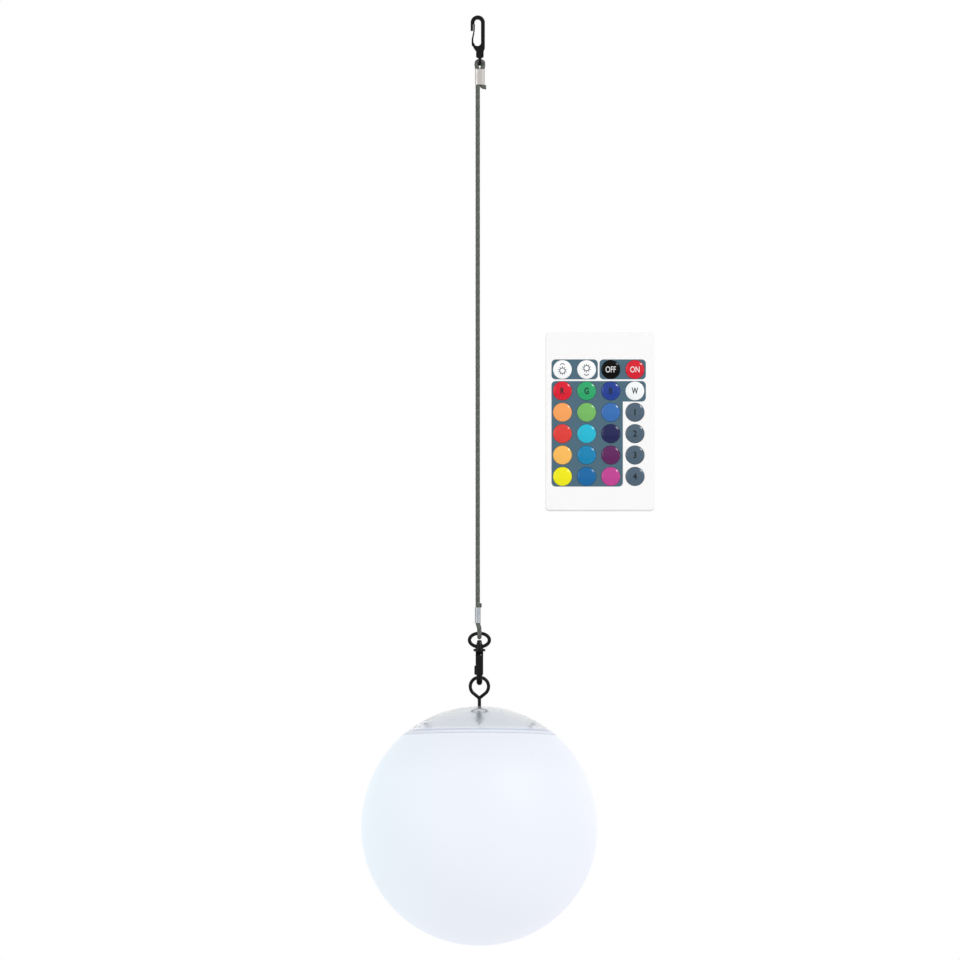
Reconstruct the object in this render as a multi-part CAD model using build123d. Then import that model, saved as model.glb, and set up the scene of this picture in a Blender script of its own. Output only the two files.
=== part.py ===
from build123d import *
from math import asin, cos, degrees, pi, radians, sin, sqrt
import os

# A solar garden globe light: a frosted globe under a clear dome, hung by its eye from a snap hook and
# a braided cord, with its flat 24-key remote control beside it. Millimetres, +Z up. The origin is the
# centre of the top hook's crown, where a rod or a branch carries the whole string; the remote's face
# and the viewer's side are -Y.

# Cord and its ferrules
CORD_DIAMETER = 2.0
CORD_RUN = 252.8            # straight stretch between the two ferrules
CORD_FIT = 0.05             # play of the cord in a ferrule and round what it loops over
CUT_END = 1.9               # how far each cut end sticks out sideways
TAIL_BEND = 1.2             # bend of the cut ends, in cord radii
LOOP_FILL = 0.97            # corner of a loop, as a share of its half width
LEG_SPLIT = 0.1             # legs of the upper loop part this far above the ferrule
LEG_SPREAD = 0.25           # and are apart this far below the eye's rim
RING_SPLIT = 0.4            # legs of the lower loop part this far below the ferrule
RING_SPREAD = 2.3           # and are apart this far below it
FERRULE_LENGTH = 7.5
FERRULE_WALL = 0.36
UPPER_LOOP = 3.95           # hook's eye centre to the upper ferrule
LOWER_LOOP = 4.85           # lower ferrule to the centre of the ring's wire

# Top hook, moulded plastic
CROWN_RADIUS = 1.55         # inside of the crown
HOOK_BAR = 1.9
HOOK_DEPTH = 3.0
HOOK_MOUTH = 10.9           # crown centre to the floor of the opening
NOSE_DROP = 4.0
NOSE_THICKNESS = 1.2
NOSE_STEP = 0.8
TONGUE_THICKNESS = 0.8
TONGUE_ROOT_RADIUS = 0.75
TONGUE_PLAY = 0.08
EYE_DROP = 18.65            # crown centre to the centre of the cord eye
EYE_PLATE = 1.1
EYE_RIM = 1.2
NECK_WIDTH = 3.7
NECK_RUN = 1.0              # neck above the eye's hole
WEB_TAPER = 1.45            # height over which the web draws in to the neck
PLATE_RUN = 0.15            # eye plate above its hole
HOOK_ROUND = 0.5

# Swivel ring and snap hook, black steel
RING_WIDTH = 11.3
RING_HEIGHT = 8.2
RING_WIRE = 1.7
RING_SHIFT = 0.8            # the ring hangs this far to the right of the straight cord
BOSS_DIAMETER = 3.9
BOSS_HEIGHT = 2.2
STUD_DIAMETER = 1.9
STUD_PLAY = 0.06
STUD_HEAD = 2.9
HEAD_CLEAR = 0.45           # rivet head below the cord's loop
COLLAR_DIAMETER = 5.8
COLLAR_THICKNESS = 1.1
SNAP_LENGTH = 16.4          # underside of the collar to the lowest point of the hook
SNAP_WIDTH = 3.7
SNAP_BAR = 2.9
SNAP_GAP = 3.4              # clear width between the spine and the nose
SNAP_SHOULDER = 4.9         # collar to the top of the opening
GATE_THICKNESS = 2.2
GATE_PIN_DIAMETER = 1.2
GATE_PIN_DROP = 2.6         # collar to the gate's pin
GATE_CHEEK = 1.3            # radius of the gate's ends round the pin
GATE_LUG = 1.0
GATE_FACE = 0.6             # wall left in front of the spring's pocket
PIN_SETBACK = 0.7           # pin behind the middle of the gate
GATE_PLAY = 0.12
GATE_WING = 0.6
GATE_WING_LENGTH = 4.4
SPRING_WIRE = 0.4

# Eye screw of bent wire, with its nut
EYE_WIRE = 1.65
EYE_RADIUS = 4.4            # centre line of the ring
EYE_POINT = 5.6             # ring centre to where the wire turns down
EYE_SHANK = 4.0             # from there to the dome
EYE_CUT = 0.25              # the wire's end stops this short of the shank's middle
EYE_THREAD = 8.2
EYE_SEAT = 0.12             # play between the eye and the snap hook
NUT_WIDTH = 3.6
NUT_HEIGHT = 1.5

# Globe, clear dome and the module between them
GLOBE_RADIUS = 57.05
GLOBE_CROWN = 58.3          # height of the upper half, a little taller than round
GLOBE_WALL = 1.8
DOME_HEIGHT = 12.8
DOME_WALL = 1.8
DOME_BOSS_DIAMETER = 8.9
DOME_BOSS_DEPTH = 2.1
DOME_POST_DIAMETER = 4.4
DOME_POST_LENGTH = 5.9
FLANGE = 1.2
NECK_GAP = 0.3              # between the flange and the globe's neck
NECK_THICKNESS = 2.4
COLLAR_INSET = 3.47         # bore of the globe's neck inside the dome's rim
COLLAR_WALL = 2.6
COLLAR_DEPTH = 5.8
CUP_PLAY = 0.3
CUP_WALL = 1.6
CUP_DEPTH = 27.7            # flange to the lid
FLANGE_STEP = 1.0           # thickness of the ledge under the flange
LUG_COUNT = 3
LUG_START = 30.0
LUG_PLAY = 0.3
LUG_LENGTH = 8.0
LUG_REACH = 1.5
LUG_HEIGHT = 1.6
LUG_GAP = 0.1
LOCK_TURN = 25.0            # degrees from locked to the notches
SEAL_WIDTH = 1.4
SEAL_HEIGHT = 1.0
SEAL_INSET = 1.37           # middle of the seal inside the dome's rim
SEAL_PLAY = 0.2
PANEL_INSET = 11.07
PANEL_THICKNESS = 1.8
PANEL_PLAY = 0.3
TRAY_WALL = 1.4
DOME_SCREWS = 3
DOME_SCREW_START = 90.0
DOME_SCREW_INSET = 7.37
POST_SINK = 1.1             # a screw post ends this far under the middle of the dome's wall
POST_ROOF = 0.8             # left above the screw's bore
SCREW_TIP = 0.24            # free bore beyond a screw's tip
SCREW_DIAMETER = 1.7
SCREW_HEAD = 3.2
SCREW_HEAD_HEIGHT = 1.1
SCREW_FIT = 0.05
SCREW_POST = 4.4
LID_THICKNESS = 1.8
LID_SCREWS = 3
LID_SCREW_START = 30.0
LID_SCREW_INSET = 9.07
LID_SCREW_BITE = 7.0
SPIGOT_HEIGHT = 1.5
SPIGOT_WALL = 1.0
SPIGOT_PLAY = 0.1
LID_POST_RADIUS = 2.0
CELL_DIAMETER = 14.2
CELL_LENGTH = 50.0
CELL_CLEAR = 1.2            # cell to the tray above it
CELL_TIP_RADIUS = 2.6
CELL_TIP_HEIGHT = 0.5
CRADLE_THICKNESS = 1.6
CRADLE_EDGE = 1.4           # saddle beside the cell
CRADLE_PLACE = 0.3          # saddles from the middle, as a share of the cell's length
CRADLE_REACH = 0.2          # saddle below the cell's axis, as a share of its diameter
CONTACT_PLAY = 0.05
CONTACT_THICKNESS = 0.5
BOARD_INSET = 13.67
BOARD_THICKNESS = 1.2
BOARD_STANDOFF = 3.0
LED_COUNT = 6
LED_SIZE = 5.0
LED_HEIGHT = 1.6
LED_CIRCLE = 6.4
WINDOW_RADIUS = 9.2
LENS_RADIUS = 11.0
LENS_HEIGHT = 5.0
LENS_WALL = 1.0
RECEIVER_WIDTH = 5.5
RECEIVER_DEPTH = 4.6
RECEIVER_LENGTH = 6.5
RECEIVER_OFFSET = 15.0
BUTTON_RADIUS = 3.5
BUTTON_FLANGE = 4.5
BUTTON_FLANGE_THICKNESS = 0.8
BUTTON_OFFSET = 16.0
BUTTON_PROUD = 1.3
BUTTON_TRAVEL = 0.6
BUTTON_FIT = 0.08
BUTTON_REST = 0.05
SWITCH_WIDTH = 6.0
SWITCH_PLAY = 0.15          # button to switch when it is pressed home

# Remote control
REMOTE_X = 58.9
REMOTE_Z = -193.2
REMOTE_WIDTH = 52.5
REMOTE_HEIGHT = 86.0
REMOTE_THICKNESS = 7.0
REMOTE_CORNER = 2.0
REMOTE_EDGE = 0.6
REMOTE_WALL = 1.2
FACE_WALL = 1.0
FRONT_SHARE = 3.15          # depth of the front shell
KEY_DIAMETER = 9.07
KEY_PITCH_X = 11.65
KEY_PITCH_Z = 10.33
KEY_ROWS = 6
KEY_COLUMNS = 4
KEY_TOP_ROW = 25.05         # top row above the middle of the remote
KEYS_LEFT = -0.6            # middle of the key field beside the middle of the remote
KEY_FIT = 0.11
KEY_PROUD = 0.8
KEY_RIM = 0.42              # flange that keeps the key behind the face
KEY_RIM_THICKNESS = 0.3
KEY_STEM = 5.0
KEY_TRAVEL = 0.5
KEY_REST = 0.05
PRINT_THICKNESS = 0.2
PRINT_MARGIN = 0.75         # panel edge beyond the outermost keys
PRINT_SPLIT = 0.8           # white line between two panels
PRINT_CORNER = 2.0
MAT_THICKNESS = 0.3
PCB_THICKNESS = 0.8
PCB_MARGIN = 2.4
COIN_DIAMETER = 20.0
COIN_THICKNESS = 2.5
CARRIER_SIDE = 1.5
CARRIER_FIT = 0.1
CARRIER_TAIL = 3.2
RAIL_WIDTH = 1.2
IR_LED_DIAMETER = 2.5
IR_LED_LENGTH = 5.0
SUPPORT_POST = 3.0
SUPPORT_X = 20.5
SUPPORT_Z = 32.7

# Levels and places that follow from the sizes above
cord_r = CORD_DIAMETER / 2
leg_pitch = CORD_DIAMETER + CORD_FIT
eye_x = leg_pitch / 2
eye_z = -EYE_DROP
hole_r = cord_r + CORD_FIT
neck_low = eye_z + hole_r + NECK_RUN
upper_top = eye_z - UPPER_LOOP
upper_bottom = upper_top - FERRULE_LENGTH
lower_top = upper_bottom - CORD_RUN
lower_bottom = lower_top - FERRULE_LENGTH
low_x = RING_SHIFT
low_y = leg_pitch / 2
ring_bar_z = lower_bottom - LOWER_LOOP
ring_mid_z = ring_bar_z - (RING_HEIGHT - RING_WIRE) / 2
ring_low_z = ring_bar_z - (RING_HEIGHT - RING_WIRE)
collar_top = ring_low_z - RING_WIRE / 2 - 2 * GATE_PLAY
collar_low = collar_top - COLLAR_THICKNESS
snap_low = collar_low - SNAP_LENGTH
bend_r = (SNAP_GAP + SNAP_BAR) / 2
bend_z = snap_low + SNAP_BAR / 2 + bend_r
shoulder_z = collar_low - SNAP_SHOULDER
pin_y = -bend_r + PIN_SETBACK
pin_z = collar_low - GATE_PIN_DROP
nose_z = bend_z
seat_z = snap_low + SNAP_BAR
eye_mid_z = seat_z + EYE_SEAT - EYE_RADIUS + EYE_WIRE / 2
eye_point_z = eye_mid_z - EYE_POINT
apex_z = eye_point_z - EYE_SHANK
globe_mid_z = apex_z - GLOBE_CROWN
rim_z = apex_z - DOME_HEIGHT
flange_low = rim_z - FLANGE
step_z = flange_low - FLANGE_STEP
rim_r = GLOBE_RADIUS * sqrt(1 - (1 - DOME_HEIGHT / GLOBE_CROWN) ** 2)
collar_r = rim_r - COLLAR_INSET
seal_r = rim_r - SEAL_INSET
panel_r = rim_r - PANEL_INSET
board_r = rim_r - BOARD_INSET
dome_screw_r = rim_r - DOME_SCREW_INSET
lid_screw_r = rim_r - LID_SCREW_INSET
neck_z = flange_low - NECK_GAP
collar_end = neck_z - COLLAR_DEPTH
cup_r = collar_r - CUP_PLAY
cup_in = cup_r - CUP_WALL
cup_low = flange_low - CUP_DEPTH
panel_floor = flange_low - PANEL_THICKNESS
tray_low = panel_floor - TRAY_WALL
cell_z = tray_low - CELL_CLEAR - CELL_DIAMETER / 2
lid_low = cup_low - LID_THICKNESS
board_low = cup_low + BOARD_STANDOFF
face_y = -REMOTE_THICKNESS / 2
back_y = REMOTE_THICKNESS / 2
split_y = face_y + FRONT_SHARE
key_r = KEY_DIAMETER / 2
rim_front = face_y + FACE_WALL + KEY_REST
rim_back = rim_front + KEY_RIM_THICKNESS
mat_front = rim_back + KEY_TRAVEL + KEY_REST
pcb_front = mat_front + MAT_THICKNESS
pcb_back = pcb_front + PCB_THICKNESS
carrier_front = pcb_back + 3 * CARRIER_FIT
carrier_width = COIN_DIAMETER + 2 * CARRIER_SIDE
carrier_length = COIN_DIAMETER + CARRIER_SIDE + CARRIER_TAIL
LOWER = Pos(low_x, low_y, 0)
REMOTE = Pos(REMOTE_X, 0, REMOTE_Z)


def rod_x(radius, length):
    return Rot(0, 90, 0) * Cylinder(radius, length)


def rod_y(radius, length):
    return Rot(90, 0, 0) * Cylinder(radius, length)


def slab(x0, x1, y0, y1, z0, z1):
    size = (x1 - x0, y1 - y0, z1 - z0)
    return Pos((x0 + x1) / 2, (y0 + y1) / 2, (z0 + z1) / 2) * Box(*size)


def around(count, radius, start=90.0):
    """Places evenly spaced on a circle about the light's axis."""
    for i in range(count):
        angle = start + 360.0 * i / count
        yield angle, radius * cos(radians(angle)), radius * sin(radians(angle))


def turned(points):
    """A solid of revolution about Z from (radius, height) points."""
    face = make_face(Plane.XZ * Polyline(*points, close=True))
    return revolve(face, Axis.Z)


def spun(edges):
    """A solid of revolution about Z from a closed run of profile edges."""
    return revolve(make_face(Plane.XZ * Curve(edges)), Axis.Z)


# ---------------------------------------------------------------- cord and ferrules

def cord_route():
    """Centre line of the cord: cut end, loop through the hook's eye, straight run, ring loop, cut end."""
    lobe = EYE_PLATE / 2 + CORD_FIT + cord_r
    top = eye_z
    wrap = RING_WIRE / 2 + CORD_FIT + cord_r
    bend = TAIL_BEND * cord_r
    low = ring_bar_z - wrap
    spread = UPPER_LOOP - hole_r - EYE_RIM - LEG_SPREAD
    part_z = lower_bottom - RING_SPREAD
    return [
        ((eye_x * 2 + CUT_END, 0, upper_bottom - bend), None),
        ((eye_x * 2, 0, upper_bottom - bend), bend),
        ((eye_x * 2, 0, upper_top + LEG_SPLIT), cord_r),
        ((eye_x + lobe, 0, upper_top + spread), cord_r),
        ((eye_x + lobe, 0, top), lobe * LOOP_FILL),
        ((eye_x - lobe, 0, top), lobe * LOOP_FILL),
        ((eye_x - lobe, 0, upper_top + spread), cord_r),
        ((0, 0, upper_top + LEG_SPLIT), cord_r),
        ((0, 0, lower_bottom - RING_SPLIT), CORD_DIAMETER),
        ((low_x, low_y - wrap, part_z), CORD_DIAMETER),
        ((low_x, low_y - wrap, low), wrap * LOOP_FILL),
        ((low_x, low_y + wrap, low), wrap * LOOP_FILL),
        ((low_x, low_y + wrap, part_z), CORD_DIAMETER),
        ((0, low_y * 2, lower_bottom - RING_SPLIT), CORD_DIAMETER),
        ((0, low_y * 2, lower_top + bend), bend),
        ((CUT_END, low_y * 2, lower_top + bend), None),
    ]


def make_cord():
    route = cord_route()
    points = [point for point, radius in route]
    radii = [radius for point, radius in route if radius]
    path = FilletPolyline(*points, radius=radii)
    tube = sweep(Plane(path @ 0, z_dir=path % 0) * Circle(cord_r), path)
    section = pi * cord_r ** 2 * path.length
    print("cord length", round(path.length, 1), "radii", [round(r, 2) for r in radii])
    print("cord volume over section x length", round(tube.volume / section, 4))
    return tube


def make_ferrule(top, middle, turn):
    """An oval aluminium sleeve crimped over the two legs of a loop."""
    wide = leg_pitch + 2 * cord_r + CORD_FIT
    deep = 2 * (cord_r + CORD_FIT)
    outer = SlotOverall(wide + 2 * FERRULE_WALL, deep + 2 * FERRULE_WALL)
    bore = SlotOverall(wide, deep)
    sleeve = extrude(outer - bore, -FERRULE_LENGTH)
    return Pos(middle[0], middle[1], top) * Rot(0, 0, turn) * sleeve


# ---------------------------------------------------------------- top hook

def hook_outline():
    inner = CROWN_RADIUS
    outer = CROWN_RADIUS + HOOK_BAR
    nose_in = -outer + NOSE_THICKNESS
    floor = -HOOK_MOUTH
    web = floor - inner - WEB_TAPER
    left = eye_x - NECK_WIDTH / 2
    right = eye_x + NECK_WIDTH / 2
    edges = [
        Line((-outer, -NOSE_DROP), (-outer, 0)),
        ThreePointArc((-outer, 0), (0, outer), (outer, 0)),
        Line((outer, 0), (outer, floor - inner)),
        Line((outer, floor - inner), (right, web)),
        Line((right, web), (right, neck_low)),
        Line((right, neck_low), (left, neck_low)),
        Line((left, neck_low), (left, web)),
        Line((left, web), (-inner - 0.3, floor - inner)),
        Line((-inner - 0.3, floor - inner), (-outer + 0.7, floor + 0.2)),
        Line((-outer + 0.7, floor + 0.2), (-inner, floor + 0.2)),
        ThreePointArc((-inner, floor + 0.2), (0.2, floor - 0.5), (inner, floor + inner)),
        Line((inner, floor + inner), (inner, 0)),
        ThreePointArc((inner, 0), (0, inner), (-inner, 0)),
        Line((-inner, 0), (-inner, -NOSE_STEP)),
        Line((-inner, -NOSE_STEP), (nose_in, -NOSE_STEP)),
        Line((nose_in, -NOSE_STEP), (nose_in, -NOSE_DROP)),
        Line((nose_in, -NOSE_DROP), (-outer, -NOSE_DROP)),
    ]
    return make_face(Plane.XZ * Curve(edges))


def tongue_root():
    return (-CROWN_RADIUS - HOOK_BAR / 2 + 0.3, -HOOK_MOUTH + 0.2)


def make_top_hook():
    """Crown, nose and spine in one moulding, with a flat cord eye set crosswise on its tail."""
    body = extrude(hook_outline(), HOOK_DEPTH / 2, both=True)
    outside = [e for e in body.edges() if abs(e.center().Y) > HOOK_DEPTH * 0.49
               and (e.center().X > CROWN_RADIUS + HOOK_BAR * 0.9 or e.center().Z > CROWN_RADIUS + 1)]
    body = fillet(outside, HOOK_ROUND)
    root_x, root_z = tongue_root()
    body -= Pos(root_x, 0, root_z) * rod_y(TONGUE_ROOT_RADIUS + TONGUE_PLAY, HOOK_DEPTH * 2)
    thin_z = eye_z + hole_r + PLATE_RUN
    rim = hole_r + EYE_RIM
    thick = Pos(eye_x, 0, neck_low) * Rectangle(NECK_WIDTH, HOOK_DEPTH)
    thin = Pos(eye_x, 0, thin_z) * Rectangle(EYE_PLATE, rim * 1.8)
    neck = loft([thick, thin])
    plate = Pos(eye_x, 0, eye_z) * rod_x(rim, EYE_PLATE)
    plate += slab(eye_x - EYE_PLATE / 2, eye_x + EYE_PLATE / 2, -rim * 0.9, rim * 0.9, eye_z, thin_z)
    plate -= Pos(eye_x, 0, eye_z) * rod_x(hole_r, NECK_WIDTH)
    edge = [e for e in plate.edges() if e.geom_type == GeomType.CIRCLE and e.radius < hole_r * 1.01]
    return body + neck + fillet(edge, EYE_PLATE * 0.45)


def make_hook_gate():
    """The thin tongue that closes the hook from inside the nose; its round root is where it bends."""
    root_x, root_z = tongue_root()
    tip_x = -CROWN_RADIUS - HOOK_BAR + NOSE_THICKNESS + 0.12
    t = TONGUE_THICKNESS
    belly = root_x - TONGUE_ROOT_RADIUS + t * 0.5
    edges = [
        Line((belly - t / 2, root_z), (belly - t / 2, root_z + 2.6)),
        Line((belly - t / 2, root_z + 2.6), (tip_x, -NOSE_DROP - 0.4)),
        Line((tip_x, -NOSE_DROP - 0.4), (tip_x, -NOSE_STEP - 0.15)),
        Line((tip_x, -NOSE_STEP - 0.15), (tip_x + t, -NOSE_STEP - 0.15)),
        Line((tip_x + t, -NOSE_STEP - 0.15), (tip_x + t * 0.85, -NOSE_DROP)),
        Line((tip_x + t * 0.85, -NOSE_DROP), (belly + t / 2, root_z + 2.6)),
        Line((belly + t / 2, root_z + 2.6), (belly + t / 2 + 0.2, root_z)),
        Line((belly + t / 2 + 0.2, root_z), (belly - t / 2, root_z)),
    ]
    blade = extrude(make_face(Plane.XZ * Curve(edges)), HOOK_DEPTH * 0.42, both=True)
    root = Pos(root_x, 0, root_z) * rod_y(TONGUE_ROOT_RADIUS, HOOK_DEPTH * 0.84)
    return blade + root


# ---------------------------------------------------------------- swivel ring and snap hook

def make_swivel_ring():
    """Oval wire ring with the cone-shaped boss that the snap hook's stud turns in."""
    half_x = (RING_WIDTH - RING_WIRE) / 2
    half_z = (RING_HEIGHT - RING_WIRE) / 2
    path = Pos(0, 0, ring_mid_z) * (Plane.XZ * Edge.make_ellipse(half_x, half_z))
    ring = sweep(Plane(path @ 0, z_dir=path % 0) * Circle(RING_WIRE / 2), path)
    low = ring_low_z - RING_WIRE / 2 - GATE_PLAY
    boss = Pos(0, 0, low + BOSS_HEIGHT / 2) * Cone(BOSS_DIAMETER / 2, BOSS_DIAMETER * 0.4, BOSS_HEIGHT)
    bore = Pos(0, 0, ring_low_z) * Cylinder(STUD_DIAMETER / 2 + STUD_PLAY, BOSS_HEIGHT * 3)
    return LOWER * (ring + boss - bore)


def snap_shoulder():
    """Side outline of the cast shoulder between the collar and the opening."""
    half = SNAP_WIDTH / 2
    back = bend_r + SNAP_BAR / 2
    inner = SNAP_GAP / 2
    front = pin_y + GATE_CHEEK + GATE_PLAY
    points = [
        (-half, collar_low), (half, collar_low), (back, shoulder_z + 1), (back, shoulder_z - half),
        (inner, shoulder_z - half), (front + 0.6, shoulder_z), (front, shoulder_z),
        (front, pin_z + GATE_CHEEK), (-half, collar_low - 0.6)]
    block = extrude(make_face(Plane.YZ * Polyline(*points, close=True)), SNAP_WIDTH / 2, both=True)
    return fillet([e for e in block.edges() if e.center().Y > half and abs(e.center().X) > 1], 0.7)


def make_snap_body():
    """Cast hook of round bar with a riveted swivel stud on top and a lug for the gate's pin."""
    spine = Line((0, bend_r, shoulder_z - 0.5), (0, bend_r, bend_z))
    bend = ThreePointArc((0, bend_r, bend_z), (0, 0, bend_z - bend_r), (0, -bend_r, bend_z))
    path = Wire([spine, bend])
    body = snap_shoulder() + sweep(Plane(path @ 0, z_dir=path % 0) * Circle(SNAP_BAR / 2), path)
    lug_r = GATE_CHEEK - 2.5 * GATE_PLAY
    lug = Pos(0, pin_y, pin_z) * rod_x(lug_r, GATE_LUG)
    lug += slab(-GATE_LUG / 2, GATE_LUG / 2, pin_y, 0, pin_z - lug_r, pin_z + GATE_CHEEK)
    hole = Pos(0, pin_y, pin_z) * rod_x(GATE_PIN_DIAMETER / 2 + SCREW_FIT, SNAP_WIDTH * 2)
    collar = Pos(0, 0, (collar_top + collar_low) / 2) * Cylinder(COLLAR_DIAMETER / 2, COLLAR_THICKNESS)
    head_low = ring_low_z - RING_WIRE / 2 + BOSS_HEIGHT
    head_high = ring_bar_z - RING_WIRE / 2 - CORD_DIAMETER - HEAD_CLEAR
    stud = Pos(0, 0, (collar_top + head_low) / 2) * Cylinder(STUD_DIAMETER / 2, head_low - collar_top)
    head = Pos(0, 0, (head_low + head_high) / 2) * Cone(STUD_HEAD / 2, STUD_DIAMETER / 2, head_high - head_low)
    return LOWER * (body + lug + collar + stud + head - hole)


def make_snap_gate():
    """Gate lever: two cheeks on the pin, a thumb face with a groove, and a low wing on its left."""
    outer = -bend_r - GATE_THICKNESS / 2
    low = pin_z - sqrt((pin_z - nose_z - GATE_PLAY) ** 2 - (pin_y - outer) ** 2)
    inner = -bend_r + GATE_THICKNESS / 2
    half = SNAP_WIDTH / 2
    blade = slab(-half, half, outer, inner, low, pin_z + GATE_CHEEK / 2)
    blade = fillet(blade.edges().filter_by(Axis.X).group_by(Axis.Y)[0].sort_by(Axis.Z)[-1], GATE_CHEEK)
    blade = fillet(blade.edges().filter_by(Axis.Z).group_by(Axis.Y)[0], 0.5)
    blade += Pos(0, pin_y, pin_z) * rod_x(GATE_CHEEK, SNAP_WIDTH)
    room = GATE_LUG / 2 + 2 * GATE_PLAY + SPRING_WIRE
    pocket = slab(-room, room, outer + GATE_FACE, 2, pin_z - 3.4, pin_z + 2)
    wing = slab(-half - GATE_WING, 0, outer + 0.2, inner - 0.2, low, low + GATE_WING_LENGTH)
    wing = fillet(wing.edges().group_by(Axis.X)[0], GATE_WING * 0.7)
    groove = slab(-0.3, 0.05, outer - 1, outer + 0.25, low + 0.8, pin_z - 1.4)
    hole = Pos(0, pin_y, pin_z) * rod_x(GATE_PIN_DIAMETER / 2 + SCREW_FIT, SNAP_WIDTH * 2)
    return LOWER * (blade + wing - pocket - groove - hole)


def make_gate_pin():
    return LOWER * Pos(0, pin_y, pin_z) * rod_x(GATE_PIN_DIAMETER / 2, SNAP_WIDTH - 0.1)


def make_gate_spring():
    """Torsion spring on the pin beside the lug, with one leg along the gate's face."""
    bore = GATE_PIN_DIAMETER / 2 + SCREW_FIT
    x = GATE_LUG / 2 + GATE_PLAY + SPRING_WIRE / 2
    coil = Pos(x, pin_y, pin_z) * rod_x(bore + SPRING_WIRE, SPRING_WIRE)
    coil -= Pos(x, pin_y, pin_z) * rod_x(bore, 2)
    leg_y = pin_y - bore - SPRING_WIRE / 2
    leg = Pos(x, leg_y, pin_z - 1.4) * Box(SPRING_WIRE, SPRING_WIRE, 2.8)
    return LOWER * (coil + leg)


# ---------------------------------------------------------------- eye screw and dome

def make_eye_screw():
    """One wire: up the shank, out to the left, round the eye and back to the shank."""
    reach = asin(EYE_RADIUS / EYE_POINT)
    side = sqrt(EYE_POINT ** 2 - EYE_RADIUS ** 2)
    dx = side * sin(reach)
    tangent_z = eye_point_z + side * cos(reach)
    base_z = apex_z - EYE_THREAD
    stem = FilletPolyline((0, 0, base_z), (0, 0, eye_point_z), (-dx, 0, tangent_z), radius=EYE_WIRE)
    loop = ThreePointArc((-dx, 0, tangent_z), (0, 0, eye_mid_z + EYE_RADIUS), (dx, 0, tangent_z))
    bent = Wire(stem.edges() + loop.edges())
    wire = sweep(Plane(bent @ 0, z_dir=bent % 0) * Circle(EYE_WIRE / 2), bent)
    cut = EYE_CUT / side
    end = Line((dx, 0, tangent_z), (dx * cut, 0, eye_point_z + side * cos(reach) * cut))
    wire += sweep(Plane(end @ 0, z_dir=end % 0) * Circle(EYE_WIRE / 2), end)
    return LOWER * wire


def make_eye_nut():
    low = apex_z - DOME_POST_LENGTH - NUT_HEIGHT
    nut = extrude(RegularPolygon(NUT_WIDTH / 2, 6, major_radius=False), NUT_HEIGHT)
    nut -= Cylinder(EYE_WIRE / 2 + SCREW_FIT, NUT_HEIGHT * 4)
    return LOWER * Pos(0, 0, low) * nut


def half_width(z, inset=0.0):
    """Radius of the globe's upper surface at a height, or of that surface moved in by a wall."""
    rise = (z - globe_mid_z) / (GLOBE_CROWN - inset)
    return (GLOBE_RADIUS - inset) * sqrt(1 - rise ** 2)


def crown_arc(z_from, inset=0.0):
    """The upper profile from a height to the apex of the globe's outline."""
    start = degrees(asin((z_from - globe_mid_z) / (GLOBE_CROWN - inset)))
    return EllipticalCenterArc((0, globe_mid_z), GLOBE_RADIUS - inset, GLOBE_CROWN - inset,
                               start_angle=start, arc_size=90 - start)


def cap_arc(radius, level, rise):
    """Quarter profile of a shallow spherical cap that rises, or hangs, from a level."""
    ball = (radius ** 2 + rise ** 2) / (2 * abs(rise))
    if rise > 0:
        start = degrees(asin((ball - rise) / ball))
        return CenterArc((0, level + rise - ball), ball, start, 90 - start)
    start = -degrees(asin((ball + rise) / ball))
    return CenterArc((0, level + rise + ball), ball, start, -90 - start)


def cap_solid(radius, level, rise):
    arc = cap_arc(radius, level, rise)
    edges = [arc, Line(arc @ 1, (0, level)), Line((0, level), arc @ 0)]
    return spun(edges)


def post_top():
    """Top of a dome screw's post, where it has run into the dome's wall."""
    share = dome_screw_r / GLOBE_RADIUS
    return globe_mid_z + (GLOBE_CROWN - DOME_WALL / 2) * sqrt(1 - share ** 2) - POST_SINK


def make_clear_dome():
    outer = crown_arc(rim_z)
    inner = crown_arc(rim_z, DOME_WALL)
    edges = [outer, inner, Line(outer @ 0, inner @ 0), Line(outer @ 1, inner @ 1)]
    dome = spun(edges)
    boss_low = apex_z - DOME_BOSS_DEPTH - DOME_WALL * 0.5
    dome += Pos(0, 0, (boss_low + apex_z - 0.5) / 2) * Cylinder(DOME_BOSS_DIAMETER / 2, apex_z - 0.5 - boss_low)
    post_low = apex_z - DOME_POST_LENGTH
    dome += Pos(0, 0, (post_low + boss_low) / 2) * Cylinder(DOME_POST_DIAMETER / 2, boss_low - post_low)
    high = post_top()
    bore = 2 * (high - POST_ROOF - rim_z)
    for angle, x, y in around(DOME_SCREWS, dome_screw_r, DOME_SCREW_START):
        dome += Pos(x, y, (rim_z + high) / 2) * Cylinder(SCREW_POST / 2, high - rim_z)
        dome -= Pos(x, y, rim_z) * Cylinder(SCREW_DIAMETER / 2 + SCREW_FIT, bore)
    dome -= Pos(0, 0, apex_z) * Cylinder(EYE_WIRE / 2 + SCREW_FIT, 3 * DOME_POST_LENGTH)
    return LOWER * dome


# ---------------------------------------------------------------- module

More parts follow.
